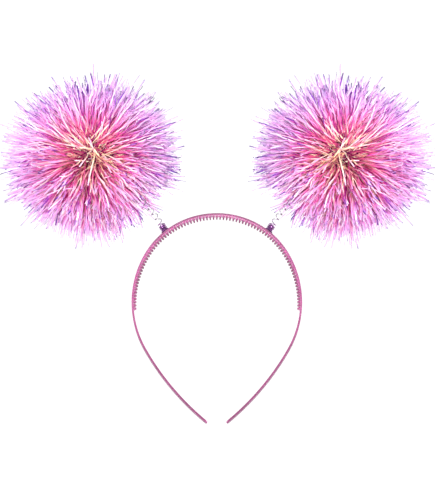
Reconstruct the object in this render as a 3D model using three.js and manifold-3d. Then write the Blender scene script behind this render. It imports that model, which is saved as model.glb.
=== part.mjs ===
// A pompom headband: a springy moulded hair band with comb teeth inside its crown, and two balls of
// film tinsel that stand up from it on coil springs.
//
// Millimetres, +Z up. The front faces -Y, and left and right are as seen from the front, so left is -X.
// The origin is where the band sits on the head: on the tooth tips, in the middle of the crown.

import * as THREE from "three";
import { mergeVertices } from "three/addons/utils/BufferGeometryUtils.js";
import Module from "manifold-3d";

const wasm = await Module();
wasm.setup();

// Driving dimensions, in millimetres and degrees.
const CLEARANCE = 0.3;

const BAND = { thickness: 1.5, combDepth: 6, tipDepth: 4.8, chamfer: 0.3, tipAngles: [0, 30, 55, 75] };

// The half band's centre line, from the middle of the crown down to the tip, as arcs in line.
const BAND_ARCS = [
  { part: "crown", radius: 57.5, sweep: 59.8, steps: 13 },
  { part: "temple", radius: 71.7, sweep: 59.4, steps: 13 },
  { part: "arm", radius: 188, sweep: 20.9, steps: 6 },
];

const TOOTH = {
  eachSide: 42,
  pitch: 2.45,
  height: 2.5,
  sunk: 0.5,
  root: { width: 1.25, depth: 5.6 },
  tip: { width: 0.7, depth: 1.8 },
};

// A post stands at an angle from the middle of the crown. Its flange is square to the band, and the pin
// on it leans up.
const POST = { angle: 39, lean: 11, flangeDiameter: 6.2, flangeHeight: 0.7, pinHeight: 4.4, sides: 14 };

const SPRING = {
  wire: 0.6,
  footDiameter: 4.9,
  footPitch: 1.3,
  footTurns: 2.75,
  coilDiameter: 3.7,
  coilPitch: 4.6,
  straightRun: 30,
  endFromPompomCentre: 18,
  wireSides: 5,
  stepsPerTurn: 10,
};

const POMPOM = { x: 90.1, z: 47.6, headRadius: 26, headDetail: 5, channelSides: 10, channelSteps: 5 };

// The strips part at the front and the back of the ball, so that its knot shows. The shares say how far a
// way out points to the front or back: none part up to the first, and all do from the second.
const PARTING = { none: 0.52, all: 0.92, headRadius: 14 };

// Strips of film stand on the head and end between two distances from the pompom's centre.
const STRIP = { shortest: 51, longest: 63, tipWidth: 4.6, lean: 2.5, clearOfSpring: 8 };

// Shares of a whole that spread evenly when they are added up again and again.
const LENGTH_STEP = 0.618034;
const LEAN_STEP = 0.754878;
const PARTING_STEP = 0.56984;

// One side is made, and the other is its mirror image.
const SIDES = [
  { name: "left", mirror: -1 },
  { name: "right", mirror: 1 },
];

const FINISH = {
  headband: { color: "#cf75a5", roughness: 0.28, metalness: 0 },
  post: { color: "#5a2a66", roughness: 0.4, metalness: 0 },
  spring: { color: "#a79fae", roughness: 0.3, metalness: 1 },
  pompom: { color: "#e58fc4", roughness: 0.3, metalness: 0.2 },
};

const { degToRad } = THREE.MathUtils;
const UP = new THREE.Vector3(0, 0, 1);
const BACK = new THREE.Vector3(0, 1, 0);

// Only positions count for a solid, so equal corners are merged before it is made.
function solidOf(geometry) {
  geometry.deleteAttribute("normal");
  geometry.deleteAttribute("uv");
  const merged = mergeVertices(geometry);
  return new wasm.Manifold(new wasm.Mesh({
    numProp: 3,
    vertProperties: new Float32Array(merged.getAttribute("position").array),
    triVerts: new Uint32Array(merged.index.array),
  }));
}

function geometryOf(solid) {
  const { vertProperties, triVerts, numProp } = solid.getMesh();
  const geometry = new THREE.BufferGeometry();
  geometry.setAttribute("position", new THREE.BufferAttribute(vertProperties, numProp));
  geometry.setIndex(new THREE.BufferAttribute(triVerts, 1));
  geometry.computeVertexNormals();
  return geometry;
}

function meshOf(name, geometry, finish) {
  const mesh = new THREE.Mesh(geometry, new THREE.MeshStandardMaterial(finish));
  mesh.name = name;
  return mesh;
}

// A skin through rings that all have the same number of points, closed by a flat cap at each end.
function loft(rings) {
  const sides = rings[0].length;
  const lastRing = (rings.length - 1) * sides;
  const index = [];
  for (let ring = 0; ring < lastRing; ring += sides) {
    for (let side = 0; side < sides; side++) {
      const here = ring + side;
      const next = ring + ((side + 1) % sides);
      index.push(here, next, next + sides, here, next + sides, here + sides);
    }
  }
  for (let side = 1; side < sides - 1; side++) {
    index.push(0, side + 1, side);
    index.push(lastRing, lastRing + side, lastRing + side + 1);
  }
  return new THREE.BufferGeometry().setFromPoints(rings.flat()).setIndex(index);
}

// A four-sided bar along +Z that runs from one rectangle to another.
function taperedBar(height, root, tip) {
  const bar = new THREE.BoxGeometry(1, 1, height).translate(0, 0, height / 2);
  const corners = bar.getAttribute("position");
  for (let i = 0; i < corners.count; i++) {
    const end = corners.getZ(i) > height / 2 ? tip : root;
    corners.setXY(i, corners.getX(i) * end.width, corners.getY(i) * end.depth);
  }
  return bar;
}

const crownCentre = new THREE.Vector3(0, 0, BAND.thickness / 2 + TOOTH.height - BAND_ARCS[0].radius);

const halfLength = BAND_ARCS.reduce((sum, arc) => sum + arc.radius * degToRad(arc.sweep), 0);

// The centre line at a distance from the middle of the crown, below zero on the left, and the way out
// of the band there.
function bandAt(travel) {
  const sign = travel < 0 ? -1 : 1;
  const centre = crownCentre.clone();
  const out = UP.clone();
  let { radius } = BAND_ARCS[0];
  let left = Math.abs(travel);
  for (const arc of BAND_ARCS) {
    centre.addScaledVector(out, radius - arc.radius);
    radius = arc.radius;
    const sweep = Math.min(left / radius, degToRad(arc.sweep));
    out.applyAxisAngle(BACK, sweep);
    left -= sweep * radius;
  }
  const point = centre.addScaledVector(out, radius);
  return { point: point.setX(sign * point.x), out: out.setX(sign * out.x) };
}

// The band is deepest over the comb and narrows evenly from there to its tips.
function bandDepth(travel) {
  const combEnd = TOOTH.eachSide * TOOTH.pitch;
  const narrowed = Math.max(travel - combEnd, 0) / (halfLength - combEnd);
  return THREE.MathUtils.lerp(BAND.combDepth, BAND.tipDepth, narrowed);
}

// Places along the band with its depth at each. The last few at either end make a half-round tip.
function bandStations() {
  const half = [];
  let start = 0;
  for (const { radius, sweep, steps } of BAND_ARCS) {
    const length = radius * degToRad(sweep);
    for (let step = 0; step < steps; step++) {
      const travel = start + (length * step) / steps;
      half.push({ travel, depth: bandDepth(travel) });
    }
    start += length;
  }
  for (const angle of BAND.tipAngles.map(degToRad)) {
    const travel = halfLength - (BAND.tipDepth / 2) * (1 - Math.sin(angle));
    half.push({ travel, depth: BAND.tipDepth * Math.cos(angle) });
  }
  const otherHalf = half.slice(1).reverse().map(({ travel, depth }) => ({ travel: -travel, depth }));
  return [...otherHalf, ...half];
}

// Flat inside, against the hair, with the two outer edges eased.
function bandSection({ travel, depth }) {
  const { point, out } = bandAt(travel);
  const half = depth / 2;
  const outer = BAND.thickness / 2;
  const eased = Math.min(BAND.chamfer, half / 2);
  return [
    { rise: -outer, back: -half },
    { rise: -outer, back: half },
    { rise: outer - eased, back: half },
    { rise: outer, back: half - eased },
    { rise: outer, back: eased - half },
    { rise: outer - eased, back: -half },
  ].map(({ rise, back }) => point.clone().addScaledVector(out, rise).addScaledVector(BACK, back));
}

// A comb tooth is a thin blade across the band that tapers to its tip.
function toothAt(travel) {
  const { point, out } = bandAt(travel);
  const inwards = out.clone().negate();
  const start = point.addScaledVector(inwards, BAND.thickness / 2 - TOOTH.sunk);
  const across = new THREE.Vector3().crossVectors(BACK, inwards);
  const placed = new THREE.Matrix4().makeBasis(across, BACK, inwards).setPosition(start);
  return taperedBar(TOOTH.height + TOOTH.sunk, TOOTH.root, TOOTH.tip).applyMatrix4(placed);
}

function headband() {
  let solid = solidOf(loft(bandStations().map(bandSection)));
  for (let i = -TOOTH.eachSide; i <= TOOTH.eachSide; i++) {
    solid = solid.add(solidOf(toothAt(i * TOOTH.pitch)));
  }
  return meshOf("headband", geometryOf(solid), FINISH.headband);
}

// Where a post stands: on the band's outer face, up along the way out of it.
const postFoot = bandAt(BAND_ARCS[0].radius * degToRad(POST.angle));
postFoot.point.addScaledVector(postFoot.out, BAND.thickness / 2);

// The spring's axis starts on the flange, runs up the pin, and then bends out to the pompom's centre.
const pompomCentre = new THREE.Vector3(POMPOM.x, 0, POMPOM.z);
const springUp = postFoot.out.clone().applyAxisAngle(BACK, -degToRad(POST.lean));
const springFoot = postFoot.point.clone().addScaledVector(postFoot.out, CLEARANCE + POST.flangeHeight);
const springBend = springFoot.clone().addScaledVector(springUp, SPRING.straightRun);
const springAxis = new THREE.QuadraticBezierCurve3(springFoot, springBend, pompomCentre);
const axisLength = springAxis.getLength();
const springEnd = axisLength - SPRING.endFromPompomCentre;

function ringAround(middle, axis, diameter) {
  const aside = new THREE.Vector3().crossVectors(BACK, axis);
  return Array.from({ length: POST.sides }, (_, i) => {
    const angle = (2 * Math.PI * i) / POST.sides;
    return middle.clone()
      .addScaledVector(aside, (diameter / 2) * Math.cos(angle))
      .addScaledVector(BACK, (diameter / 2) * Math.sin(angle));
  });
}

function post() {
  const base = postFoot.point.clone().addScaledVector(postFoot.out, CLEARANCE);
  const pinTop = springFoot.clone().addScaledVector(springUp, POST.pinHeight);
  const pinDiameter = SPRING.footDiameter - SPRING.wire - 2 * CLEARANCE;
  const skin = loft([
    ringAround(base, postFoot.out, POST.flangeDiameter),
    ringAround(springFoot, postFoot.out, POST.flangeDiameter),
    ringAround(springFoot, postFoot.out, pinDiameter),
    ringAround(pinTop, springUp, pinDiameter),
  ]);
  return meshOf("post", geometryOf(solidOf(skin)), FINISH.post);
}

// The wire's own line: close turns round the post, then open turns along the axis.
class SpringWire extends THREE.Curve {
  constructor() {
    super();
    const tippedBy = (SPRING.footDiameter / 2) * Math.sin(degToRad(POST.lean));
    this.start = CLEARANCE + SPRING.wire / 2 + tippedBy;
    const footTop = this.start + SPRING.footTurns * SPRING.footPitch;
    this.turns = SPRING.footTurns + (springEnd - footTop) / SPRING.coilPitch;
    this.arcLengthDivisions = Math.ceil(this.turns) * 6 * SPRING.stepsPerTurn;
  }

  getPoint(t, target = new THREE.Vector3()) {
    const turn = t * this.turns;
    const open = Math.max(turn - SPRING.footTurns, 0);
    const height = this.start + (turn - open) * SPRING.footPitch + open * SPRING.coilPitch;
    const diameter = THREE.MathUtils.lerp(SPRING.footDiameter, SPRING.coilDiameter, Math.min(open, 1));
    const along = springAxis.getTangentAt(height / axisLength);
    const aside = new THREE.Vector3().crossVectors(BACK, along);
    return target
      .copy(springAxis.getPointAt(height / axisLength))
      .addScaledVector(aside, (diameter / 2) * Math.cos(2 * Math.PI * turn))
      .addScaledVector(BACK, (diameter / 2) * Math.sin(2 * Math.PI * turn));
  }
}

function roundSection(radius, sides) {
  const corners = Array.from({ length: sides }, (_, i) => {
    const angle = (2 * Math.PI * i) / sides;
    return new THREE.Vector2(radius * Math.cos(angle), radius * Math.sin(angle));
  });
  return new THREE.Shape(corners);
}

function spring() {
  const wire = new SpringWire();
  const tube = new THREE.ExtrudeGeometry(roundSection(SPRING.wire / 2, SPRING.wireSides), {
    steps: Math.round(wire.turns * SPRING.stepsPerTurn),
    extrudePath: wire,
  });
  return meshOf("spring", geometryOf(solidOf(tube)), FINISH.spring);
}

// The hole that the spring runs up, from outside the tinsel to just past the wire's end.
function springChannel() {
  const steps = POMPOM.channelSteps;
  const mouth = axisLength - STRIP.longest - SPRING.wire;
  const end = springEnd + SPRING.wire;
  const points = Array.from({ length: steps + 1 }, (_, i) => {
    const height = THREE.MathUtils.lerp(mouth, end, i / steps);
    return springAxis.getPointAt(height / axisLength);
  });
  const radius = (SPRING.coilDiameter + SPRING.wire) / 2 + 2 * CLEARANCE;
  return new THREE.ExtrudeGeometry(roundSection(radius, POMPOM.channelSides), {
    steps,
    extrudePath: new THREE.CatmullRomCurve3(points),
  });
}

function parting(outwards) {
  return THREE.MathUtils.smoothstep(Math.abs(outwards.y), PARTING.none, PARTING.all);
}

// The head is a ball that is drawn in where the strips part.
function pompomHead() {
  const head = new THREE.IcosahedronGeometry(1, POMPOM.headDetail);
  const corners = head.getAttribute("position");
  for (let i = 0; i < corners.count; i++) {
    const outwards = new THREE.Vector3().fromBufferAttribute(corners, i);
    const radius = THREE.MathUtils.lerp(POMPOM.headRadius, PARTING.headRadius, parting(outwards));
    corners.setXYZ(i, ...outwards.multiplyScalar(radius));
  }
  return corners;
}

// Each facet of the head is drawn out into a strip that ends in a thin edge. A facet's three corners
// take turns to come first, so the edges lie three ways. Facets stay bare where the spring goes in, and
// more and more of them do where the strips part.
function tinselBall() {
  const facets = pompomHead();
  const towardsSpring = springAxis.getTangentAt(1).negate();
  const skin = [];
  for (let i = 0; i < facets.count / 3; i++) {
    const corner = (n) => new THREE.Vector3().fromBufferAttribute(facets, 3 * i + ((i + n) % 3));
    const [a, b, c] = [corner(0), corner(1), corner(2)];
    const outwards = new THREE.Vector3().add(a).add(b).add(c).normalize();
    const atSpring = outwards.angleTo(towardsSpring) < degToRad(STRIP.clearOfSpring);
    if (atSpring || (i * PARTING_STEP) % 1 < parting(outwards)) {
      skin.push(a, b, c);
      continue;
    }
    const reach = THREE.MathUtils.lerp(STRIP.shortest, STRIP.longest, (i * LENGTH_STEP) % 1);
    const lean = STRIP.lean * (((i * LEAN_STEP) % 1) - 0.5);
    const across = b.clone().sub(a).normalize();
    const tip = outwards.multiplyScalar(reach).addScaledVector(across, lean);
    const start = tip.clone().addScaledVector(across, -STRIP.tipWidth / 2);
    const end = tip.clone().addScaledVector(across, STRIP.tipWidth / 2);
    skin.push(a, b, end, a, end, start, b, c, end, c, a, start, c, start, end);
  }
  return new THREE.BufferGeometry().setFromPoints(skin);
}

function pompom() {
  const channel = springChannel().translate(...pompomCentre.clone().negate());
  const solid = solidOf(tinselBall()).subtract(solidOf(channel));
  const mesh = meshOf("pompom", geometryOf(solid), FINISH.pompom);
  mesh.position.copy(pompomCentre);
  return mesh;
}

const pompomHeadband = new THREE.Group();
pompomHeadband.add(headband());
for (const { name, mirror } of SIDES) {
  const side = new THREE.Group();
  side.scale.x = mirror;
  for (const piece of [post(), spring(), pompom()]) {
    piece.name += `_${name}`;
    side.add(piece);
  }
  pompomHeadband.add(side);
}

export default pompomHeadband;
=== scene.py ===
# %% [markdown]
# # A pompom headband
# A slim plastic hair band carries two balls of film tinsel on coil springs. Its solid parts come in as a
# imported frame, in metres, with the origin where the band sits on the head. This lesson dresses that frame:
# each step makes one finish or one piece, and puts it exactly where its solid stands.

# %% Load the frame and keep its box
import math

import bmesh
import bpy
from mathutils import Matrix, Vector
from mathutils.kdtree import KDTree


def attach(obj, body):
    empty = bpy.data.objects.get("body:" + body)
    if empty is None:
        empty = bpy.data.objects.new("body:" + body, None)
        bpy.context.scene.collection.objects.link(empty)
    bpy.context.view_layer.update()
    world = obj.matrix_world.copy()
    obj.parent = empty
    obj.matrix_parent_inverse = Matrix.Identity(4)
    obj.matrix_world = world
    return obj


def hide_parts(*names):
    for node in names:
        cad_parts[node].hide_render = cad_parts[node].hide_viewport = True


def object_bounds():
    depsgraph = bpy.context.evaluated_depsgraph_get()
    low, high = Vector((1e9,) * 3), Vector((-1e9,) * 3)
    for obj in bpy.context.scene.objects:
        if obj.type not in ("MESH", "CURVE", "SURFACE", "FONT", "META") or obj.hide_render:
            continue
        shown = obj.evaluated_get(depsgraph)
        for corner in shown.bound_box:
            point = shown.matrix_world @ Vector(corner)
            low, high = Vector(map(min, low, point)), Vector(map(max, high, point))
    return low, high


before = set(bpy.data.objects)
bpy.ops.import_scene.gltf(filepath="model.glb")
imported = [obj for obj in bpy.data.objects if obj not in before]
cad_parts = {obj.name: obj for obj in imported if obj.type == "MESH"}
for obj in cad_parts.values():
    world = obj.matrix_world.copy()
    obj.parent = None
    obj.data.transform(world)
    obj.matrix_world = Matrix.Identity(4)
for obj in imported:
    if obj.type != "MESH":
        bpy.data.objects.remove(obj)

cad_box = [list(corner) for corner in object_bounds()]
MM = 0.001
print("solids:", sorted(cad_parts))
print("box in mm:", [[round(v / MM, 1) for v in corner] for corner in cad_box])

# %% [markdown]
# ## Small helpers
# Shaders count in linear light, while colours are picked as sRGB hex values, so one function turns one into
# the other. Another adds a node to any tree, shader or geometry, with its settings and its links in one
# call. That keeps each tree below as short as the finish or the rule that it stands for.

# %% Colours and nodes
def linear(hex_colour):
    """An sRGB hex colour as linear red, green, blue and alpha."""
    channels = [int(hex_colour[i:i + 2], 16) / 255 for i in (1, 3, 5)]
    return [c / 12.92 if c <= 0.04045 else ((c + 0.055) / 1.055) ** 2.4 for c in channels] + [1.0]


def put(tree, target, inputs):
    """Give a node's inputs their values. A node or a socket as the value is linked instead."""
    for key, value in inputs.items():
        if isinstance(value, bpy.types.Node):
            value = next(socket for socket in value.outputs if socket.enabled)
        if isinstance(value, bpy.types.NodeSocket):
            tree.links.new(value, target.inputs[key])
        else:
            target.inputs[key].default_value = value


def add(tree, kind, inputs=None, stops=None, **settings):
    """Add a node with its settings, its inputs and, for a colour ramp, its stops."""
    made = tree.nodes.new(kind)
    for name, value in settings.items():
        setattr(made, name, value)
    for i, (position, colour) in enumerate(stops or []):
        elements = made.color_ramp.elements
        element = elements[i] if i < 2 else elements.new(position)
        element.position = position
        element.color = linear(colour)
    put(tree, made, inputs or {})
    return made


def new_material(name):
    """A material with its shader, ready for a pattern."""
    material = bpy.data.materials.new(name)
    material.use_nodes = True
    return material, material.node_tree, material.node_tree.nodes["Principled BSDF"]


# %% [markdown]
# ## Pink plastic
# The band is injection-moulded polystyrene, glossy and a little see-through. Light coming through the plastic
# and shade are painted into its colour: painted light makes the inner face between the teeth pale, painted
# shade makes the rim mauve and the tips of the teeth dark. Paint by hand would be tied to one mesh. Each
# corner of the mesh keeps a number for this painted light and shade instead, a ramp turns it into a tone, and
# noise in object space lets the tone drift.

# %% Moulded pink polystyrene
# Low values give painted shade, high ones painted light through thin plastic.
PINK_TONES = [(0.1, "#7c2c5c"), (0.3, "#8c5274"), (0.42, "#a8588a"), (0.55, "#c2689e"), (0.95, "#ffc8ea")]
DRIFT = {"size": 9 * MM, "strength": 0.2}
RIPPLE = {"size": 1.5 * MM, "strength": 0.2, "height": 0.05 * MM}


def pink_polystyrene():
    """The band's plastic, which reads its painted light and shade from its mesh."""
    # To the eye: a glossy skin with a faint ripple, over plastic with painted light where it is thin and
    # painted shade at the rim and the teeth's tips.
    material, tree, shader = new_material("moulded pink polystyrene")
    painted_glow = add(tree, "ShaderNodeAttribute", attribute_name="painted_glow").outputs["Fac"]
    place = add(tree, "ShaderNodeTexCoord").outputs["Object"]
    drift = add(tree, "ShaderNodeTexNoise", {"Vector": place, "Scale": 1 / DRIFT["size"], "Detail": 3.0})
    drift_and_painted_light = add(tree, "ShaderNodeMath", {0: drift.outputs["Fac"], 1: DRIFT["strength"], 2: painted_glow},
                 operation="MULTIPLY_ADD")
    tone = add(tree, "ShaderNodeValToRGB", {"Fac": drift_and_painted_light}, stops=PINK_TONES)
    ripple = add(tree, "ShaderNodeTexNoise", {"Vector": place, "Scale": 1 / RIPPLE["size"], "Detail": 2.0})
    skin = add(tree, "ShaderNodeBump", {
        "Height": ripple.outputs["Fac"], "Strength": RIPPLE["strength"], "Distance": RIPPLE["height"]})
    put(tree, shader, {
        "Base Color": tone,
        "Normal": skin,
        "Roughness": 0.35,
        "IOR": 1.59,
        "Specular IOR Level": 0.35,
        "Subsurface Weight": 0.8,
        "Subsurface Radius": (1.0, 0.6, 0.85),
        "Subsurface Scale": 0.7 * MM,
    })
    return material


band_plastic = pink_polystyrene()
print("finish:", band_plastic.name)

# %% [markdown]
# ## The band's strip
# The strip is 1.5 mm thick and follows three arcs on each side: a round crown, a wider temple and an almost
# straight arm. A bent curve with a bevel could draw it, but its depth shrinks towards the tips while its
# thickness stays, so it is lofted through rounded sections instead.

# %% The band's centre line
BAND = {"thickness": 1.5 * MM, "comb_depth": 6 * MM, "tip_depth": 4.8 * MM}
BAND_ARCS = [
    {"part": "crown", "radius": 57.5 * MM, "sweep": math.radians(59.8)},
    {"part": "temple", "radius": 71.7 * MM, "sweep": math.radians(59.4)},
    {"part": "arm", "radius": 188 * MM, "sweep": math.radians(20.9)},
]
TOOTH = {"each_side": 42, "pitch": 2.45 * MM, "height": 2.5 * MM, "sunk": 0.5 * MM, "shorter": 0.2}
CROWN_CENTRE = BAND["thickness"] / 2 + TOOTH["height"] - BAND_ARCS[0]["radius"]
HALF_LENGTH = sum(arc["radius"] * arc["sweep"] for arc in BAND_ARCS)
BACK = Vector((0, 1, 0))


def band_at(travel):
    """The centre line at a distance from the crown's middle, below zero on the left, and the way out."""
    side = -1 if travel < 0 else 1
    left, turned, radius = abs(travel), 0.0, BAND_ARCS[0]["radius"]
    centre = Vector((0, 0, CROWN_CENTRE))
    out = Vector((0, 0, 1))
    for arc in BAND_ARCS:
        centre += out * (radius - arc["radius"])
        radius = arc["radius"]
        sweep = min(left / radius, arc["sweep"])
        turned += sweep
        left -= sweep * radius
        out = Vector((math.sin(turned), 0, math.cos(turned)))
    point = centre + out * radius
    return Vector((side * point.x, 0, point.z)), Vector((side * out.x, 0, out.z))


print("arcs in mm:", {arc["part"]: round(arc["radius"] * arc["sweep"] / MM, 1) for arc in BAND_ARCS})
print("band length in mm:", round(2 * HALF_LENGTH / MM, 1))

# %% A mesh through rings
def new_object(name, mesh):
    """Show a mesh as an object at the origin."""
    piece = bpy.data.objects.new(name, mesh)
    bpy.context.scene.collection.objects.link(piece)
    return piece


def loft(name, rings):
    """A closed mesh through rings of equal point counts, with a face over each end."""
    sides = len(rings[0])
    faces = []
    for start in range(0, (len(rings) - 1) * sides, sides):
        for side in range(sides):
            following = (side + 1) % sides
            faces.append((start + side, start + following, start + sides + following, start + sides + side))
    last = (len(rings) - 1) * sides
    faces.append(tuple(reversed(range(sides))))
    faces.append(tuple(range(last, last + sides)))
    mesh = bpy.data.meshes.new(name)
    mesh.from_pydata([point for ring in rings for point in ring], [], faces)
    mesh.update()
    return mesh


# %% The strip through rounded sections
SECTION_SIDES = 28
# With 2 a section would be an ellipse.
SECTION_SQUARENESS = 10
STRIP_STEPS = 170
# Degrees round the half circle at each tip.
TIP_ROUNDS = [0, 25, 45, 60, 72, 81]


def rounded_section(width, depth):
    """Points round a soft-cornered rectangle, as (across, back) pairs."""
    power = 2 / SECTION_SQUARENESS
    pairs = []
    for i in range(SECTION_SIDES):
        angle = 2 * math.pi * (i + 0.5) / SECTION_SIDES
        across, back = math.cos(angle), math.sin(angle)
        pairs.append((math.copysign(abs(across) ** power, across) * width / 2,
                      math.copysign(abs(back) ** power, back) * depth / 2))
    return pairs


def strip_depth(travel):
    """Deepest over the comb, and narrowing evenly from there to the tips."""
    comb_end = TOOTH["each_side"] * TOOTH["pitch"]
    narrowed = max(abs(travel) - comb_end, 0) / (HALF_LENGTH - comb_end)
    return BAND["comb_depth"] + (BAND["tip_depth"] - BAND["comb_depth"]) * narrowed


def strip_ring(travel, depth):
    """The strip's section at a distance along it."""
    point, out = band_at(travel)
    return [point + out * rise + BACK * back for rise, back in rounded_section(BAND["thickness"], depth)]


def band_strip():
    """The strip from tip to tip, with a half round at each."""
    half_round = BAND["tip_depth"] / 2
    straight = HALF_LENGTH - half_round
    places = [(-straight + 2 * straight * i / STRIP_STEPS) for i in range(1, STRIP_STEPS)]
    stations = [(travel, strip_depth(travel)) for travel in places]
    for angle in map(math.radians, TIP_ROUNDS):
        travel = straight + half_round * math.sin(angle)
        depth = BAND["tip_depth"] * math.cos(angle)
        stations = [(-travel, depth)] + stations + [(travel, depth)]
    return loft("moulded_band", [strip_ring(travel, depth) for travel, depth in stations])


band = new_object("moulded_band", band_strip())
print("strip:", len(band.data.polygons), "faces")

# %% [markdown]
# ## The comb
# A row of small teeth inside the crown grips the hair. They differ only in height, and are a little shorter
# towards the ends of the row. So one tooth is modelled, and Geometry Nodes stands a copy at each point of a
# row of points, turned to face into the band. The row and its directions come from the same arcs as the
# strip, so the comb follows it exactly.

# %% One tooth
TOOTH_SECTIONS = [
    {"height": 0.0, "width": 1.3, "depth": 5.8},
    {"height": 1.0, "width": 1.2, "depth": 5.4},
    {"height": 2.0, "width": 1.05, "depth": 4.0},
    {"height": 2.8, "width": 0.9, "depth": 2.4},
    {"height": 3.0, "width": 0.5, "depth": 1.7},
]


def tooth_mesh():
    """A tooth through its sections in millimetres, with half as many points as the strip's section."""
    rings = []
    for row in TOOTH_SECTIONS:
        pairs = rounded_section(row["width"] * MM, row["depth"] * MM)[::2]
        rings.append([(across, back, row["height"] * MM) for across, back in pairs])
    return loft("tooth", rings)


tooth = new_object("tooth", tooth_mesh())
print("one tooth:", len(tooth.data.polygons), "faces")

# %% A geometry tree and its run
def new_tree(name, inputs):
    """A geometry tree with named inputs. Gives the tree and its inputs' sockets by name."""
    tree = bpy.data.node_groups.new(name, "GeometryNodeTree")
    for label, kind in inputs.items():
        tree.interface.new_socket(label, in_out="INPUT", socket_type="NodeSocket" + kind)
    tree.interface.new_socket("Mesh", in_out="OUTPUT", socket_type="NodeSocketGeometry")
    return tree, tree.nodes.new("NodeGroupInput").outputs


def end_tree(tree, geometry, material):
    """End a tree in a real mesh with its material, because an export drops instances."""
    real = add(tree, "GeometryNodeRealizeInstances", {"Geometry": geometry})
    coloured = add(tree, "GeometryNodeSetMaterial", {"Geometry": real, "Material": material})
    add(tree, "NodeGroupOutput", {"Mesh": coloured})
    print(f"{tree.name}: {len(tree.nodes)} nodes")


def run_tree(tree, name, values, mesh=None):
    """Run a geometry tree once and keep what it makes as a plain mesh, with no modifier left."""
    piece = new_object(name, mesh or bpy.data.meshes.new(name))
    modifier = piece.modifiers.new(tree.name, "NODES")
    modifier.node_group = tree
    for item in tree.interface.items_tree:
        if item.in_out == "INPUT" and item.name in values:
            modifier[item.identifier] = values[item.name]
    depsgraph = bpy.context.evaluated_depsgraph_get()
    made = bpy.data.meshes.new_from_object(piece.evaluated_get(depsgraph), depsgraph=depsgraph)
    piece.modifiers.remove(modifier)
    piece.data = made
    made.name = name
    return piece


# %% The row of teeth by Geometry Nodes
def comb_tree():
    """Stands a tooth on every point, with its height along the point's own direction."""
    tree, given = new_tree("comb of teeth", {"Row": "Geometry", "Tooth": "Object", "Plastic": "Material"})
    one = add(tree, "GeometryNodeObjectInfo", {"Object": given["Tooth"]})
    inwards = add(tree, "GeometryNodeInputNamedAttribute", {"Name": "inwards"}, data_type="FLOAT_VECTOR")
    turned = add(tree, "FunctionNodeAxesToRotation", {"Primary Axis": inwards, "Secondary Axis": BACK},
                 primary_axis="Z", secondary_axis="Y")
    grown = add(tree, "GeometryNodeInputNamedAttribute", {"Name": "grown"}, data_type="FLOAT")
    size = add(tree, "ShaderNodeCombineXYZ", {"X": 1.0, "Y": 1.0, "Z": grown})
    copies = add(tree, "GeometryNodeInstanceOnPoints", {
        "Points": given["Row"], "Instance": one.outputs["Geometry"], "Rotation": turned, "Scale": size})
    end_tree(tree, copies, given["Plastic"])
    return tree


def tooth_row():
    """A point at each tooth's root, with the way into the band and the tooth's share of full height."""
    numbers = range(-TOOTH["each_side"], TOOTH["each_side"] + 1)
    places = [band_at(i * TOOTH["pitch"]) for i in numbers]
    root = BAND["thickness"] / 2 - TOOTH["sunk"]
    row = bpy.data.meshes.new("tooth row")
    row.from_pydata([point - out * root for point, out in places], [], [])
    inwards = row.attributes.new("inwards", "FLOAT_VECTOR", "POINT")
    inwards.data.foreach_set("vector", [value for _, out in places for value in -out])
    heights = [1 - TOOTH["shorter"] * (i / TOOTH["each_side"]) ** 2 for i in numbers]
    row.attributes.new("grown", "FLOAT", "POINT").data.foreach_set("value", heights)
    return row


comb = run_tree(comb_tree(), "comb", {"Tooth": tooth, "Plastic": band_plastic}, tooth_row())
bpy.data.objects.remove(tooth)
print("teeth:", 2 * TOOTH["each_side"] + 1)

# %% [markdown]
# ## One moulding
# Strip and comb come out of one mould. Two meshes that only overlap would look alike from outside, but light
# in the plastic would stop at the hidden faces, so a boolean union makes them one skin. Then each corner of
# that skin gets its painted light and shade, from where it lies in the strip or in a tooth.

# %% Strip and teeth in one skin
def fuse(piece, other):
    """Join another closed mesh to a piece, as one skin, and take the other away."""
    modifier = piece.modifiers.new("fuse", "BOOLEAN")
    modifier.operation = "UNION"
    modifier.solver = "EXACT"
    modifier.object = other
    depsgraph = bpy.context.evaluated_depsgraph_get()
    fused = bpy.data.meshes.new_from_object(piece.evaluated_get(depsgraph), depsgraph=depsgraph)
    piece.modifiers.remove(modifier)
    piece.data = fused
    bpy.data.objects.remove(other)


band.data.materials.append(band_plastic)
fuse(band, comb)
print("one skin:", len(band.data.polygons), "faces")

# %% Painted light and shade, by how much plastic the light comes through
# High values paint light through thin plastic. Low ones paint shade on the teeth, the edges, the outer face
# and the arms' ends.
PAINTED_GLOW = {
    "tooth root": 0.45, "crown tooth": 0.02, "temple tooth": 0.35, "outside": 0.25, "inside": 0.85,
    "crown edge": 0.2, "temple edge": 0.45, "arm end": 0.31,
}
TOOTH_STARTS = 0.05 * MM
# The way out points up by 1 on the crown. From here on the painted shade on the teeth is darkest.
SHADE_DARKEST_FROM = 0.25
# At the arms' tips it points down by this.
TURN_TO_TIP = 0.77
EDGE_SHARPNESS = 8


def mix(start, end, share):
    """A number on the way from one to another."""
    return start + (end - start) * share


def tooth_painted_shade(out, inside):
    """Painted shade that darkens a tooth from its root to its tip, most on the crown."""
    crowned = min(max(out.z, 0) / SHADE_DARKEST_FROM, 1)
    tip = mix(PAINTED_GLOW["temple tooth"], PAINTED_GLOW["crown tooth"], crowned)
    return mix(PAINTED_GLOW["tooth root"], tip, min(max(inside / TOOTH["height"], 0), 1))


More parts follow.
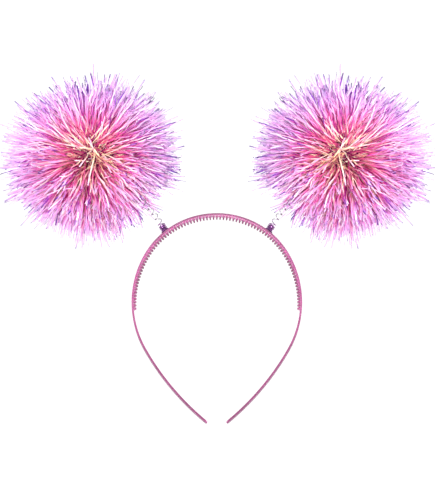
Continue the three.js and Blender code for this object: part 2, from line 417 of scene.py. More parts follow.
def strip_painted_light(travel, out, inside, back):
    """Painted light, most on the inner face, and painted shade on the outer one and along the edges."""
    edge = min(abs(back) / strip_depth(travel) * 2, 1)
    inner = 1 + 2 * inside / BAND["thickness"]
    face_painted_light = PAINTED_GLOW["inside"] if inner > 0 else PAINTED_GLOW["outside"]
    turned = min(abs(out.z) / TURN_TO_TIP, 1)
    if out.z > 0:
        edge_painted_shade = mix(PAINTED_GLOW["temple edge"], PAINTED_GLOW["crown edge"], turned)
    else:
        edge_painted_shade = mix(PAINTED_GLOW["temple edge"], PAINTED_GLOW["arm end"], turned ** 2)
    return mix(edge_painted_shade, face_painted_light, abs(inner) * (1 - edge ** EDGE_SHARPNESS))


# %% The glow at each corner
SEARCH_STEP = MM / 2
travels = [-HALF_LENGTH + i * SEARCH_STEP for i in range(round(2 * HALF_LENGTH / SEARCH_STEP) + 1)]
nearest = KDTree(len(travels))
for i, travel in enumerate(travels):
    nearest.insert(band_at(travel)[0], i)
nearest.balance()


def on_band(place):
    """How far a place is along the strip, the way out there, and how far inside the inner face it is."""
    travel = travels[nearest.find((place.x, 0, place.z))[1]]
    point, out = band_at(travel)
    return travel, out, (point - place).dot(out) - BAND["thickness"] / 2


def mark_painted_light(mesh):
    """Keep the painted light and shade at each corner of the band's mesh."""
    values = [0.0] * len(mesh.loops)
    for face in mesh.polygons:
        in_tooth = on_band(face.center)[2] > TOOTH_STARTS
        for corner in face.loop_indices:
            place = mesh.vertices[mesh.loops[corner].vertex_index].co
            travel, out, inside = on_band(place)
            if in_tooth:
                values[corner] = tooth_painted_shade(out, inside)
            else:
                values[corner] = strip_painted_light(travel, out, inside, place.y)
    mesh.attributes.new("painted_glow", "FLOAT", "CORNER").data.foreach_set("value", values)
    print("glow from", round(min(values), 2), "to", round(max(values), 2))


mark_painted_light(band.data)

# %% The band in place of its solid
def dress(piece, node, smooth_below=40):
    """Let a finished piece stand for its solid, with soft shading up to an angle in degrees."""
    piece.data.shade_smooth()
    piece.data.set_sharp_from_angle(angle=math.radians(smooth_below))
    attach(piece, "root")
    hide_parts(node)
    piece.data.calc_loop_triangles()
    print(f"{piece.name}: {len(piece.data.loop_triangles)} triangles for {node}")


dress(band, "headband")

# %% [markdown]
# ## The plugs
# A small dark plug of moulded nylon stands on the band for each spring: a flange square to the band, and a
# pin that leans up from it. A turned profile has one axis only, and the pin has another than the flange. So
# the plug is lofted through rings, each round its own axis, with two rings close together where an edge is
# eased.

# %% Moulded purple nylon
NYLON_TONES = [(0.3, "#320a3a"), (0.7, "#66246e")]
NYLON_DRIFT = 2 * MM


def purple_nylon():
    """The plugs' plastic."""
    # To the eye: a dark purple with a soft shine, and a slow drift of tone.
    material, tree, shader = new_material("moulded purple nylon")
    place = add(tree, "ShaderNodeTexCoord").outputs["Object"]
    drift = add(tree, "ShaderNodeTexNoise", {"Vector": place, "Scale": 1 / NYLON_DRIFT})
    tone = add(tree, "ShaderNodeValToRGB", {"Fac": drift.outputs["Fac"]}, stops=NYLON_TONES)
    put(tree, shader, {"Base Color": tone, "Roughness": 0.38, "IOR": 1.53})
    return material


post_plastic = purple_nylon()
print("finish:", post_plastic.name)

# %% The two plugs
POST = {
    "angle": math.radians(39), "flange": 3.1 * MM, "flange_height": 0.7 * MM,
    "pin": 1.85 * MM, "pin_height": 4.4 * MM, "lean": math.radians(11),
}
GAP = 0.3 * MM
POST_SIDES = 28
EDGE = 0.15 * MM
SIDES = {"left": -1, "right": 1}


def disc_ring(middle, axis, radius):
    """Points round an axis."""
    aside = BACK.cross(axis)
    angles = [2 * math.pi * i / POST_SIDES for i in range(POST_SIDES)]
    return [middle + (aside * math.cos(a) + BACK * math.sin(a)) * radius for a in angles]


def plug_mesh(name, foot, out, up):
    """A flange square to the band, and on it a pin that leans up, with their edges eased."""
    flange, pin = POST["flange"], POST["pin"]
    base = foot + out * GAP
    seat = base + out * POST["flange_height"]
    top = POST["pin_height"]
    rows = [
        (base, out, flange - EDGE),
        (base + out * EDGE, out, flange),
        (seat - out * EDGE, out, flange),
        (seat, out, flange - EDGE),
        (seat, out, pin + EDGE),
        (seat + up * 2 * EDGE, up, pin),
        (seat + up * (top - EDGE), up, pin),
        (seat + up * top, up, pin - EDGE),
    ]
    return loft(name, [disc_ring(*row) for row in rows])


def post_foot(side):
    """Where a post stands on the band's outer face, the way out there and the way up its pin."""
    point, out = band_at(side * BAND_ARCS[0]["radius"] * POST["angle"])
    up = Matrix.Rotation(-side * POST["lean"], 3, "Y") @ out
    return point + out * BAND["thickness"] / 2, out, up


for name, side in SIDES.items():
    plug = new_object(f"plug_{name}", plug_mesh(f"plug_{name}", *post_foot(side)))
    plug.data.materials.append(post_plastic)
    dress(plug, f"post_{name}", smooth_below=30)

# %% [markdown]
# ## The springs
# Each spring is drawn steel wire. It is wound close round the plug, where a purple reflection of the plug and
# shade between the close turns are painted on it, and then opens into a long coil that leans out to the
# pompom.
# A Screw modifier winds round a straight axis, and this one is bent. A coil follows a rule, so Geometry Nodes
# winds it: every point of a long line is moved to its height on the axis and turned round it. The tree also
# keeps how far the coil has opened, for the tone and its painted reflection.

# %% Drawn steel wire
BARE_STEEL = [(0.3, "#8f8597"), (0.7, "#b9afc0")]
# A painted reflection of the purple plug, with painted shade between the close turns.
STEEL_WITH_PAINTED_REFLECTION = [(0.35, "#743a7a"), (0.65, "#cc98d2")]
DRAWN_MARKS = 0.8 * MM


def spring_steel():
    """The springs' wire, which reads from its mesh how far the coil has opened."""
    # To the eye: bright grey with streaks of gloss, and close to the plug a painted purple reflection of it
    # with painted shade between the turns. Real drawing marks are too fine to show, so the noise for them is
    # a little coarser than the wire is thick.
    material, tree, shader = new_material("drawn spring steel wire")
    place = add(tree, "ShaderNodeTexCoord").outputs["Object"]
    marks = add(tree, "ShaderNodeTexNoise", {"Vector": place, "Scale": 1 / DRAWN_MARKS, "Detail": 4.0})
    drawn = marks.outputs["Fac"]
    bare = add(tree, "ShaderNodeValToRGB", {"Fac": drawn}, stops=BARE_STEEL)
    painted_plug_reflection = add(tree, "ShaderNodeValToRGB", {"Fac": drawn}, stops=STEEL_WITH_PAINTED_REFLECTION)
    loose = add(tree, "ShaderNodeAttribute", attribute_name="loose").outputs["Fac"]
    # A Mix node's two colours are its inputs 6 and 7, and output 2 is the mixed one.
    tone = add(tree, "ShaderNodeMix", {0: loose, 6: painted_plug_reflection, 7: bare}, data_type="RGBA").outputs[2]
    polish = add(tree, "ShaderNodeMapRange", {"Value": drawn, "To Min": 0.18, "To Max": 0.4})
    put(tree, shader, {"Base Color": tone, "Metallic": 1.0, "Roughness": polish})
    return material


steel = spring_steel()
print("finish:", steel.name)

# %% A coil round a bent axis
AXIS_STEPS = 64


def wind(tree, given, turn, close, opened):
    """Where a wire goes, by the turns it has made so far, and the close and the open ones among them."""
    axis = add(tree, "GeometryNodeCurveQuadraticBezier", {
        "Resolution": AXIS_STEPS, "Start": given["Foot"], "Middle": given["Bend"], "End": given["Top"]})
    foot_rise = add(tree, "ShaderNodeMath", {0: close, 1: given["Foot pitch"], 2: given["Start"]},
                    operation="MULTIPLY_ADD")
    height = add(tree, "ShaderNodeMath", {0: opened, 1: given["Coil pitch"], 2: foot_rise},
                 operation="MULTIPLY_ADD")
    on_axis = add(tree, "GeometryNodeSampleCurve", {"Curves": axis, "Length": height}, mode="LENGTH")
    tangent = on_axis.outputs["Tangent"]
    aside = add(tree, "ShaderNodeVectorMath", {0: BACK, 1: tangent}, operation="CROSS_PRODUCT")
    diameter = add(tree, "ShaderNodeMapRange", {
        "Value": opened, "To Min": given["Foot diameter"], "To Max": given["Coil diameter"]})
    radius = add(tree, "ShaderNodeMath", {0: diameter, 1: 0.5}, operation="MULTIPLY")
    angle = add(tree, "ShaderNodeMath", {0: turn, 1: math.tau}, operation="MULTIPLY")
    cosine = add(tree, "ShaderNodeMath", {0: angle}, operation="COSINE")
    sine = add(tree, "ShaderNodeMath", {0: angle}, operation="SINE")
    reach_aside = add(tree, "ShaderNodeMath", {0: cosine, 1: radius}, operation="MULTIPLY")
    mirrored = add(tree, "ShaderNodeMath", {0: reach_aside, 1: given["Mirror"]}, operation="MULTIPLY")
    reach_back = add(tree, "ShaderNodeMath", {0: sine, 1: radius}, operation="MULTIPLY")
    off_aside = add(tree, "ShaderNodeVectorMath", {0: aside, "Scale": mirrored}, operation="SCALE")
    off_back = add(tree, "ShaderNodeVectorMath", {0: BACK, "Scale": reach_back}, operation="SCALE")
    off = add(tree, "ShaderNodeVectorMath", {0: off_aside, 1: off_back}, operation="ADD")
    return add(tree, "ShaderNodeVectorMath", {0: on_axis.outputs["Position"], 1: off}, operation="ADD")


# %% A wound spring by Geometry Nodes
WIRE_SIDES = 8


def spring_tree():
    """Winds a wire round a bent axis: close turns at the foot, then open ones."""
    tree, given = new_tree("wound spring", {
        "Foot": "Vector", "Bend": "Vector", "Top": "Vector", "Start": "Float", "Wire": "Float",
        "Foot diameter": "Float", "Foot pitch": "Float", "Foot turns": "Float",
        "Coil diameter": "Float", "Coil pitch": "Float", "Turns": "Float", "Mirror": "Float",
        "Points": "Int", "Steel": "Material"})
    line = add(tree, "GeometryNodeCurvePrimitiveLine")
    points = add(tree, "GeometryNodeResampleCurve", {"Curve": line, "Count": given["Points"]})
    share = add(tree, "GeometryNodeSplineParameter").outputs["Factor"]
    turn = add(tree, "ShaderNodeMath", {0: share, 1: given["Turns"]}, operation="MULTIPLY")
    close = add(tree, "ShaderNodeMath", {0: turn, 1: given["Foot turns"]}, operation="MINIMUM")
    opened = add(tree, "ShaderNodeMath", {0: turn, 1: close}, operation="SUBTRACT")
    loose = add(tree, "ShaderNodeClamp", {"Value": opened})
    marked = add(tree, "GeometryNodeStoreNamedAttribute", {
        "Geometry": points, "Name": "loose", "Value": loose}, data_type="FLOAT", domain="POINT")
    wound = wind(tree, given, turn, close, opened)
    coil = add(tree, "GeometryNodeSetPosition", {"Geometry": marked, "Position": wound})
    half_wire = add(tree, "ShaderNodeMath", {0: given["Wire"], 1: 0.5}, operation="MULTIPLY")
    section = add(tree, "GeometryNodeCurvePrimitiveCircle", {"Resolution": WIRE_SIDES, "Radius": half_wire})
    tube = add(tree, "GeometryNodeCurveToMesh", {"Curve": coil, "Profile Curve": section, "Fill Caps": True})
    end_tree(tree, tube, given["Steel"])
    return tree


wound_spring = spring_tree()

# %% The springs' axes
STRAIGHT_RUN = 30 * MM
POMPOM = Vector((90.1 * MM, 0, 47.6 * MM))
LENGTH_STEPS = 200


def spring_axis(side):
    """The three points of a spring's axis: its foot on the post, its bend and the pompom's middle."""
    post_base, out, up = post_foot(side)
    foot = post_base + out * (GAP + POST["flange_height"])
    return foot, foot + up * STRAIGHT_RUN, Vector((side * POMPOM.x, 0, POMPOM.z))


def axis_at(share, foot, bend, top):
    """A place on a spring's axis."""
    return foot * (1 - share) ** 2 + bend * 2 * share * (1 - share) + top * share ** 2


def axis_length(*points):
    """The length of a spring's axis."""
    places = [axis_at(i / LENGTH_STEPS, *points) for i in range(LENGTH_STEPS + 1)]
    return sum((after - before).length for before, after in zip(places, places[1:]))


print("axis in mm:", {name: round(axis_length(*spring_axis(side)) / MM, 1) for name, side in SIDES.items()})

# %% The two springs
SPRING = {
    "Wire": 0.6 * MM, "Foot diameter": 4.9 * MM, "Foot pitch": 1.3 * MM, "Foot turns": 2.75,
    "Coil diameter": 3.7 * MM, "Coil pitch": 4.6 * MM,
}
END_FROM_POMPOM = 18 * MM
POINTS_PER_TURN = 28
for name, side in SIDES.items():
    foot, bend, top = spring_axis(side)
    start = GAP + SPRING["Wire"] / 2 + SPRING["Foot diameter"] / 2 * math.sin(POST["lean"])
    foot_top = start + SPRING["Foot turns"] * SPRING["Foot pitch"]
    open_run = axis_length(foot, bend, top) - END_FROM_POMPOM - foot_top
    turns = SPRING["Foot turns"] + open_run / SPRING["Coil pitch"]
    coil = run_tree(wound_spring, f"coil_{name}", {
        **SPRING, "Foot": foot, "Bend": bend, "Top": top, "Start": start, "Turns": turns,
        "Mirror": float(side), "Points": round(turns * POINTS_PER_TURN), "Steel": steel})
    dress(coil, f"spring_{name}", smooth_below=60)

# %% [markdown]
# ## Tinsel film
# The pompoms are slit from iridescent polyester film. From its knot to its free end a strip is painted
# crimson,
# hot pink, pink, lilac and pale violet: partly the film's own pinks, partly its reflected colours, which a
# thin-film shader would make from the angle of view, and near the knot partly painted shade from deep in the
# ball. Where it twists into the light, cream or white highlights are painted on it. An export loses a
# thin-film shader's colours, so two attributes drive them: the zone along the strip, and a tint that each
# strip draws for itself. Each zone has a ramp of tints, and noise along the strip swings the tint for the
# painted highlights and shade.

# %% The film's tints, zone by zone from the knot
# The dark tints at the knot are painted shade from deep inside the ball; the palest are painted highlights.
KNOT_TINTS_WITH_PAINTED_SHADE = [(0.0, "#480c40"), (0.3, "#8c1c60"), (0.6, "#b83478"), (0.82, "#d4708c"), (1.0, "#f4d8b8")]
# In each zone the darkest tints are partly painted shade, and the palest are painted highlights.
FILM_ZONES = [
    {"zone": "heart", "begins": 0.06, "whole": 0.3, "tints": [
        (0.0, "#701458"), (0.12, "#b02c74"), (0.3, "#d85890"),
        (0.56, "#ea82aa"), (0.72, "#ffe6c8"), (1.0, "#fff8e4")]},
    {"zone": "middle", "begins": 0.3, "whole": 0.65, "tints": [
        (0.0, "#ce40b0"), (0.1, "#de5cba"), (0.3, "#f086c6"),
        (0.6, "#f6a6d6"), (0.8, "#ffdce4"), (1.0, "#fff6f4")]},
    {"zone": "ends", "begins": 0.65, "whole": 0.93, "tints": [
        (0.0, "#985ccc"), (0.06, "#c69ae2"), (0.2, "#eac4f2"),
        (0.6, "#f4d0f4"), (0.82, "#f8e0f8"), (1.0, "#fcf4fe")]},
    {"zone": "tips", "begins": 0.93, "whole": 1.0, "tints": [
        (0.0, "#644e8c"), (0.12, "#a090bc"), (0.35, "#cec0e0"),
        (0.65, "#e8d8ee"), (1.0, "#f6f0f8")]},
]
print("zones after the knot:", [row["zone"] for row in FILM_ZONES])

# %% Iridescent polyester film
# How often the tint swings along a strip, how soon another tint swings otherwise, and how far. The swings
# paint highlights and shade where a strip twists towards or away from the light.
PAINTED_FLASHES = {"along": 5.0, "kinds": 60.0, "swing": 1.2}
NOISE_MIDDLE = 0.5
CREASES = {"size": 3 * MM, "strength": 0.5, "height": 0.4 * MM}
LET_THROUGH = 0.62


def painted_flash_tint(tree, zone):
    """A strip's own tint, swung to and fro along the strip as its twist does, as painted highlights and
    painted shade.
    """
    own = add(tree, "ShaderNodeAttribute", attribute_name="tint").outputs["Fac"]
    lengthwise = add(tree, "ShaderNodeMath", {0: zone, 1: PAINTED_FLASHES["along"]}, operation="MULTIPLY")
    crosswise = add(tree, "ShaderNodeMath", {0: own, 1: PAINTED_FLASHES["kinds"]}, operation="MULTIPLY")
    spot = add(tree, "ShaderNodeCombineXYZ", {"X": lengthwise, "Y": crosswise})
    twisted = add(tree, "ShaderNodeTexNoise", {"Vector": spot, "Scale": 1.0, "Detail": 1.0},
                  noise_dimensions="2D").outputs["Fac"]
    swing = add(tree, "ShaderNodeMath", {0: twisted, 1: NOISE_MIDDLE}, operation="SUBTRACT")
    return add(tree, "ShaderNodeMath", {0: swing, 1: PAINTED_FLASHES["swing"], 2: own},
               operation="MULTIPLY_ADD", use_clamp=True)


def tinsel_film():
    """The strips' film, which reads zone and tint from its mesh."""
    # To the eye: shiny creased film in many pinks, with light through it, so that it glows from behind too.
    material, tree, shader = new_material("slit iridescent polyester film")
    zone = add(tree, "ShaderNodeAttribute", attribute_name="zone").outputs["Fac"]
    tint = painted_flash_tint(tree, zone)
    colour = add(tree, "ShaderNodeValToRGB", {"Fac": tint}, stops=KNOT_TINTS_WITH_PAINTED_SHADE).outputs["Color"]
    for row in FILM_ZONES:
        share = add(tree, "ShaderNodeMapRange", {
            "Value": zone, "From Min": row["begins"], "From Max": row["whole"]})
        tone = add(tree, "ShaderNodeValToRGB", {"Fac": tint}, stops=row["tints"])
        colour = add(tree, "ShaderNodeMix", {0: share, 6: colour, 7: tone}, data_type="RGBA").outputs[2]
    place = add(tree, "ShaderNodeTexCoord").outputs["Object"]
    crinkle = add(tree, "ShaderNodeTexNoise", {"Vector": place, "Scale": 1 / CREASES["size"], "Detail": 1.0})
    creased = add(tree, "ShaderNodeBump", {
        "Height": crinkle.outputs["Fac"], "Strength": CREASES["strength"], "Distance": CREASES["height"]})
    put(tree, shader, {
        "Base Color": colour,
        "Normal": creased,
        "Metallic": 0.25,
        "Roughness": 0.22,
        "IOR": 1.6,
    })
    through = add(tree, "ShaderNodeBsdfTranslucent", {"Color": colour})
    surface = add(tree, "ShaderNodeMixShader", {0: LET_THROUGH, 1: shader, 2: through})
    put(tree, tree.nodes["Material Output"], {"Surface": surface})
    return material


film = tinsel_film()
print("finish:", film.name)

# %% [markdown]
# ## The tinsel balls
# A real ball is thousands of strips tied at the middle, so each strip runs from the knot to its free end.
# Hair particles could grow them, but a tree of nodes shows every rule and ends in a plain mesh. It scatters
# points on a small knot, stands a line on each, bends and twists the lines, and sweeps a thin flat section
# along them. Strips are left out in front and behind, where the knot shows, and round the spring, where they
# are shorter too. A slow wave gathers their ends into tufts, and a few wide strips in pale tints are added as
# painted highlights. Each strip has its own length, lean and twist, from fixed seeds.

# %% Stems on a knot
KNOT_DETAIL = 4
# How far to the front or back the knot faces, where strips begin to be left out and where most are.
POLES = {"thinner_from": 0.5, "thinnest_from": 0.88}
PARTING = {
    "begins": math.cos(math.radians(32)), "edge": math.cos(math.radians(20)),
    "clear": math.cos(math.radians(12)), "shortened": 0.86,
}


def stem_density(tree, given, outwards, by_spring):
    """Fewer stems at the knot's poles, in front and behind, and none towards the spring."""
    facing = add(tree, "ShaderNodeSeparateXYZ", {"Vector": outwards})
    pole = add(tree, "ShaderNodeMath", {0: facing.outputs["Y"]}, operation="ABSOLUTE")
    at_pole = add(tree, "ShaderNodeMapRange", {
        "Value": pole, "From Min": POLES["thinner_from"], "From Max": POLES["thinnest_from"],
        "To Min": 1.0, "To Max": given["Left at the poles"]})
    room = add(tree, "ShaderNodeMapRange", {
        "Value": by_spring, "From Min": PARTING["edge"], "From Max": PARTING["clear"],
        "To Min": 1.0, "To Max": 0.0})
    left = add(tree, "ShaderNodeMath", {0: at_pole, 1: room}, operation="MULTIPLY")
    return add(tree, "ShaderNodeMath", {0: left, 1: given["Strips per area"]}, operation="MULTIPLY")


def stand_stems(tree, given, here):
    """Straight lines that stand on a knot, shorter beside the spring."""
    knot = add(tree, "GeometryNodeMeshIcoSphere", {
        "Radius": given["Knot radius"], "Subdivisions": KNOT_DETAIL})
    outwards = add(tree, "ShaderNodeVectorMath", {0: here}, operation="NORMALIZE")
    by_spring = add(tree, "ShaderNodeVectorMath", {0: outwards, 1: given["Spring way"]},
                    operation="DOT_PRODUCT")
    density = stem_density(tree, given, outwards, by_spring)
    roots = add(tree, "GeometryNodeDistributePointsOnFaces", {
        "Mesh": knot, "Density": density, "Seed": given["Seed"]})
    line = add(tree, "GeometryNodeCurvePrimitiveLine")
    stem = add(tree, "GeometryNodeResampleCurve", {"Curve": line, "Count": given["Points"]})
    # A Random Value node's limits are its inputs 2 and 3 for a number, and 0 and 1 for a vector.
    cut = add(tree, "FunctionNodeRandomValue", {2: given["Shortest"], 3: given["Longest"], "Seed": 1},
              data_type="FLOAT")
    trim = add(tree, "ShaderNodeMapRange", {
        "Value": by_spring, "From Min": PARTING["begins"], "From Max": PARTING["edge"],
        "To Min": 1.0, "To Max": PARTING["shortened"]})
    length = add(tree, "ShaderNodeMath", {0: cut, 1: trim}, operation="MULTIPLY")
    stretch = add(tree, "ShaderNodeCombineXYZ", {"X": 1.0, "Y": 1.0, "Z": length})
    return add(tree, "GeometryNodeInstanceOnPoints", {
        "Points": roots.outputs["Points"], "Instance": stem,
        "Rotation": roots.outputs["Rotation"], "Scale": stretch})


# %% What each stem keeps
EITHER_WAY = {0: (-1, -1, -1), 1: (1, 1, 1)}


def own_tint(tree, given, here):
    """A tint that each stem draws, a little like its neighbours'."""
    patch_scale = add(tree, "ShaderNodeMath", {0: 1.0, 1: given["Patch size"]}, operation="DIVIDE")
    patch = add(tree, "ShaderNodeTexNoise", {"Vector": here, "Scale": patch_scale, "Detail": 1.0})
    own = add(tree, "FunctionNodeRandomValue", {2: given["Darkest"], 3: given["Palest"], "Seed": 2},
              data_type="FLOAT")
    swing = add(tree, "ShaderNodeMath", {0: patch.outputs["Fac"], 1: NOISE_MIDDLE}, operation="SUBTRACT")
    return add(tree, "ShaderNodeMath", {0: swing, 1: given["Patches"], 2: own},
               operation="MULTIPLY_ADD", use_clamp=True)


def mark_stems(tree, given, here, stems):
    """Keep on each stem its tint, its height on the knot, its roll, and which way end and root move."""
    root = add(tree, "ShaderNodeSeparateXYZ", {"Vector": here})
    height = add(tree, "ShaderNodeMath", {0: root.outputs["Z"], 1: given["Knot radius"]}, operation="DIVIDE")
    roll = add(tree, "FunctionNodeRandomValue", {"Seed": 3}, data_type="FLOAT")
    sway = add(tree, "FunctionNodeRandomValue", {**EITHER_WAY, "Seed": 4}, data_type="FLOAT_VECTOR")
    shift = add(tree, "FunctionNodeRandomValue", {**EITHER_WAY, "Seed": 5}, data_type="FLOAT_VECTOR")
    rows = [
        ("tint", "FLOAT", own_tint(tree, given, here)),
        ("rise", "FLOAT", height),
        ("roll", "FLOAT", roll),
        ("sway", "FLOAT_VECTOR", sway),
        ("shift", "FLOAT_VECTOR", shift),
    ]
    for name, kind, value in rows:
        stems = add(tree, "GeometryNodeStoreNamedAttribute", {
            "Geometry": stems, "Name": name, "Value": value}, data_type=kind, domain="INSTANCE")
    return add(tree, "GeometryNodeRealizeInstances", {"Geometry": stems})


# %% The zones along a stem
def mark_zones(tree, given, stems):
    """Keep how far along its stem a point is, and its zone, which comes sooner on the upper stems."""
    share = add(tree, "GeometryNodeSplineParameter").outputs["Factor"]
    stems = add(tree, "GeometryNodeStoreNamedAttribute", {
        "Geometry": stems, "Name": "along", "Value": share}, data_type="FLOAT", domain="POINT")
    along = add(tree, "GeometryNodeInputNamedAttribute", {"Name": "along"}, data_type="FLOAT")
    rise = add(tree, "GeometryNodeInputNamedAttribute", {"Name": "rise"}, data_type="FLOAT")
    rest = add(tree, "ShaderNodeMath", {0: 1.0, 1: along}, operation="SUBTRACT")
    hump = add(tree, "ShaderNodeMath", {0: along, 1: rest}, operation="MULTIPLY")
    pushed = add(tree, "ShaderNodeMath", {0: rise, 1: given["Shift"]}, operation="MULTIPLY")
    zone = add(tree, "ShaderNodeMath", {0: hump, 1: pushed, 2: along},
               operation="MULTIPLY_ADD", use_clamp=True)
    return add(tree, "GeometryNodeStoreNamedAttribute", {
        "Geometry": stems, "Name": "zone", "Value": zone}, data_type="FLOAT", domain="POINT")


# %% The bends of the stems
DOWN = (0, 0, -1)
WAVE_DETAIL = {"Detail": 2.5, "Roughness": 0.65}


def shared_wave(tree, given, here, squared):
    """A wave that neighbours share, which grows towards the ends and gathers them into tufts."""
    wave_scale = add(tree, "ShaderNodeMath", {0: 1.0, 1: given["Wave size"]}, operation="DIVIDE")
    field = add(tree, "ShaderNodeTexNoise", {"Vector": here, "Scale": wave_scale, **WAVE_DETAIL})
    centred = add(tree, "ShaderNodeVectorMath", {0: field.outputs["Color"], 1: (NOISE_MIDDLE,) * 3},
                  operation="SUBTRACT")
    swell = add(tree, "ShaderNodeMath", {0: squared, 1: given["Wave"]}, operation="MULTIPLY")
    return add(tree, "ShaderNodeVectorMath", {0: centred, "Scale": swell}, operation="SCALE")


def bend_stems(tree, given, here, stems):
    """Lean and droop the ends, jumble the roots, wave the stems together and twist each of them."""
    along = add(tree, "GeometryNodeInputNamedAttribute", {"Name": "along"}, data_type="FLOAT")
    roll = add(tree, "GeometryNodeInputNamedAttribute", {"Name": "roll"}, data_type="FLOAT")
    sway = add(tree, "GeometryNodeInputNamedAttribute", {"Name": "sway"}, data_type="FLOAT_VECTOR")
    shift = add(tree, "GeometryNodeInputNamedAttribute", {"Name": "shift"}, data_type="FLOAT_VECTOR")
    squared = add(tree, "ShaderNodeMath", {0: along, 1: along}, operation="MULTIPLY")
    lean = add(tree, "ShaderNodeVectorMath", {0: sway, "Scale": given["Lean"]}, operation="SCALE")
    fall = add(tree, "ShaderNodeVectorMath", {0: DOWN, "Scale": given["Droop"]}, operation="SCALE")
    pull = add(tree, "ShaderNodeVectorMath", {0: lean, 1: fall}, operation="ADD")
    bend = add(tree, "ShaderNodeVectorMath", {0: pull, "Scale": squared}, operation="SCALE")
    rest = add(tree, "ShaderNodeMath", {0: 1.0, 1: along}, operation="SUBTRACT")
    rooted = add(tree, "ShaderNodeMath", {0: rest, 1: rest}, operation="MULTIPLY")
    jumble = add(tree, "ShaderNodeMath", {0: rooted, 1: given["Jumble"]}, operation="MULTIPLY")
    start = add(tree, "ShaderNodeVectorMath", {0: shift, "Scale": jumble}, operation="SCALE")
    swayed = add(tree, "ShaderNodeVectorMath", {0: bend, 1: start}, operation="ADD")
    wave = shared_wave(tree, given, here, squared)
    moved = add(tree, "ShaderNodeVectorMath", {0: swayed, 1: wave}, operation="ADD")
    bent = add(tree, "GeometryNodeSetPosition", {"Geometry": stems, "Offset": moved})
    turned = add(tree, "ShaderNodeMath", {0: roll, 1: math.tau}, operation="MULTIPLY")
    spun = add(tree, "ShaderNodeMath", {0: along, 1: given["Twist"], 2: turned}, operation="MULTIPLY_ADD")
    return add(tree, "GeometryNodeSetCurveTilt", {"Curve": bent, "Tilt": spun})


# %% Tinsel by Geometry Nodes
FILM_SIDES = 3


def sweep_film(tree, given, stems):
    """A thin flat section along each stem, with zone and tint as the map that an export bakes by."""
    flat = add(tree, "ShaderNodeCombineXYZ", {
        "X": given["Film width"], "Y": given["Film thickness"], "Z": 1.0})
    ring = add(tree, "GeometryNodeCurvePrimitiveCircle", {"Resolution": FILM_SIDES, "Radius": 0.5})
    section = add(tree, "GeometryNodeTransform", {"Geometry": ring, "Scale": flat})
    swept = add(tree, "GeometryNodeCurveToMesh", {
        "Curve": stems, "Profile Curve": section, "Fill Caps": True})
    zone = add(tree, "GeometryNodeInputNamedAttribute", {"Name": "zone"}, data_type="FLOAT")
    tint = add(tree, "GeometryNodeInputNamedAttribute", {"Name": "tint"}, data_type="FLOAT")
    flat_map = add(tree, "ShaderNodeCombineXYZ", {"X": zone, "Y": tint})
    return add(tree, "GeometryNodeStoreNamedAttribute", {
        "Geometry": swept, "Name": "OFBake", "Value": flat_map}, data_type="FLOAT2", domain="CORNER")


def tinsel_tree():
    """Strips of film from a knot outwards."""
    tree, given = new_tree("tinsel ball", {
        "Knot radius": "Float", "Strips per area": "Float", "Left at the poles": "Float",
        "Shortest": "Float", "Longest": "Float", "Film width": "Float", "Film thickness": "Float",
        "Lean": "Float", "Jumble": "Float", "Droop": "Float", "Twist": "Float",
        "Wave": "Float", "Wave size": "Float", "Darkest": "Float", "Palest": "Float",
        "Patches": "Float", "Patch size": "Float", "Shift": "Float",
        "Spring way": "Vector", "Points": "Int", "Seed": "Int", "Film": "Material"})
    here = add(tree, "GeometryNodeInputPosition")
    stems = mark_stems(tree, given, here, stand_stems(tree, given, here))
    bent = bend_stems(tree, given, here, mark_zones(tree, given, stems))
    end_tree(tree, sweep_film(tree, given, bent), given["Film"])
    return tree


tinsel = tinsel_tree()

# %% The strips of one ball
TINSEL = {
    "Knot radius": 3 * MM, "Left at the poles": 0.0, "Shortest": 46 * MM, "Longest": 58 * MM,
    "Film width": 1.1 * MM, "Film thickness": 0.08 * MM, "Lean": 8 * MM, "Jumble": 8 * MM, "Droop": 2 * MM,
    "Twist": 2.4, "Wave": 19 * MM, "Wave size": 16 * MM, "Darkest": 0.03, "Palest": 1.0,
    "Patches": 0.5, "Patch size": 2 * MM, "Shift": 0.7, "Points": 7, "Seed": 7,
}
# Wide strips in pale tints only, as painted highlights.
PAINTED_GLINTS = {
    **TINSEL, "Left at the poles": 0.7, "Shortest": 18 * MM, "Longest": 44 * MM, "Film width": 1.3 * MM,
    "Lean": 9 * MM, "Jumble": 10 * MM, "Twist": 1.5, "Wave": 5 * MM, "Darkest": 0.82, "Patches": 0.0,
    "Seed": 11,
}
STRIPS = 6500
PAINTED_GLINT_STRIPS = 320
HEART = Vector((90.1 * MM, 0, 47.8 * MM))
STRETCH = Matrix.Diagonal((1.05, 1, 0.965, 1))
spring_middle = axis_at(0.5, *spring_axis(SIDES["right"]))
spring_way = (STRETCH.inverted() @ (spring_middle - HEART)).normalized()


def strips(name, values, count):
    """Tinsel with a number of strips, as if none were left out."""
    density = count / (4 * math.pi * values["Knot radius"] ** 2)
    made = run_tree(tinsel, name, {
        **values, "Strips per area": density, "Spring way": spring_way, "Film": film})
    faces_each = FILM_SIDES * (values["Points"] - 1) + 2
    print(f"{name}: {len(made.data.polygons) // faces_each} strips")
    return made


ball = strips("tinsel_right", TINSEL, STRIPS)
glints = strips("glints", PAINTED_GLINTS, PAINTED_GLINT_STRIPS)

# %% Both balls
joined = bmesh.new()
joined.from_mesh(ball.data)
joined.from_mesh(glints.data)
joined.to_mesh(ball.data)
joined.free()
bpy.data.objects.remove(glints)
ball.data.transform(Matrix.Translation(HEART) @ STRETCH)
left_ball = new_object("tinsel_left", ball.data.copy())
left_ball.data.transform(Matrix.Scale(-1, 4, (1, 0, 0)))
left_ball.data.flip_normals()
for piece, node in ((ball, "pompom_right"), (left_ball, "pompom_left")):
    dress(piece, node, smooth_below=30)

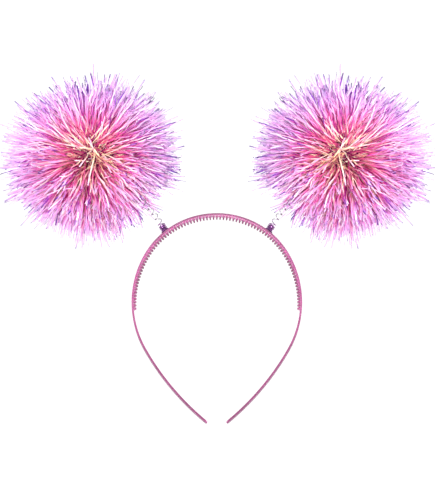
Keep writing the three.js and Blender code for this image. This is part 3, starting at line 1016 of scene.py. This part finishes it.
# %% [markdown]
# ## Floor, light and camera
# The headband is held up as on a head, above a plain pale floor. A white surround gives most of the light and
# keeps the shadows open. Small lights with a narrow spread, in front of each ball and behind it, bring out
# the film alone. A long lens from the front, a little below, gives the view.

# %% Floor and surround
FLOOR_BELOW = 600 * MM
FLOOR_REACH = 9
floor_height = cad_box[0][2] - FLOOR_BELOW
corners = [(-FLOOR_REACH, -FLOOR_REACH), (FLOOR_REACH, -FLOOR_REACH),
           (FLOOR_REACH, FLOOR_REACH), (-FLOOR_REACH, FLOOR_REACH)]
floor_mesh = bpy.data.meshes.new("floor")
floor_mesh.from_pydata([(x, y, floor_height) for x, y in corners], [], [(0, 1, 2, 3)])
floor = new_object("floor", floor_mesh)
floor_paint, floor_tree, floor_shader = new_material("pale matt floor")
put(floor_tree, floor_shader, {"Base Color": linear("#f8f8f8"), "Roughness": 0.9})
floor.data.materials.append(floor_paint)
world = bpy.data.worlds.new("white surround")
world.use_nodes = True
put(world.node_tree, world.node_tree.nodes["Background"], {"Color": linear("#ffffff"), "Strength": 1.1})
bpy.context.scene.world = world
print("floor height in mm:", round(floor_height / MM, 1))

# %% Soft lights
# Places and sizes are in metres, spreads in degrees.
BALL_AT = Vector((0.09, 0, 0.05))
BALL_LIGHTS = [
    {"name": "ball", "from": Vector((0.16, -0.84, -0.24)), "size": 0.09, "spread": 13, "watts": 0.16},
    {"name": "ball, behind", "from": Vector((0.16, 0.84, 0.24)), "size": 0.04, "spread": 9, "watts": 0.07},
]
TOP_LIGHT = {"name": "top", "from": Vector((0.1, 0.5, 1.3)), "size": 0.8, "spread": 180, "watts": 6}


def soft_light(name, row, place, target):
    """A round light that points at a target."""
    lamp = bpy.data.lights.new(name, "AREA")
    lamp.shape = "DISK"
    lamp.size = row["size"]
    lamp.spread = math.radians(row["spread"])
    lamp.energy = row["watts"]
    holder = bpy.data.objects.new(name, lamp)
    holder.location = place
    holder.rotation_euler = (target - place).to_track_quat("-Z", "Y").to_euler()
    bpy.context.scene.collection.objects.link(holder)
    print(f"light {name}: {row['watts']} W")


for row in BALL_LIGHTS:
    for name, side in SIDES.items():
        mirror = Matrix.Diagonal((side, 1, 1))
        soft_light(f"{name} {row['name']}", row, mirror @ row["from"], mirror @ BALL_AT)
soft_light(TOP_LIGHT["name"], TOP_LIGHT, TOP_LIGHT["from"], Vector((0, 0, 0)))

# %% Camera
VIEW = {
    "elevation": math.radians(-18), "distance": 1.5, "height": 352.44 * MM,
    "aim": Vector((0.45 * MM, 0, -21.0 * MM)),
}
lens = bpy.data.cameras.new("camera")
lens.sensor_width = 36
lens.lens = lens.sensor_width * VIEW["distance"] / VIEW["height"]
camera = bpy.data.objects.new("camera", lens)
back_off = Vector((0, -math.cos(VIEW["elevation"]), math.sin(VIEW["elevation"])))
camera.location = VIEW["aim"] + back_off * VIEW["distance"]
camera.rotation_euler = (-back_off).to_track_quat("-Z", "Y").to_euler()
bpy.context.scene.collection.objects.link(camera)
bpy.context.scene.camera = camera
bpy.context.scene.view_settings.view_transform = "Standard"
print("lens:", round(lens.lens, 1), "mm")
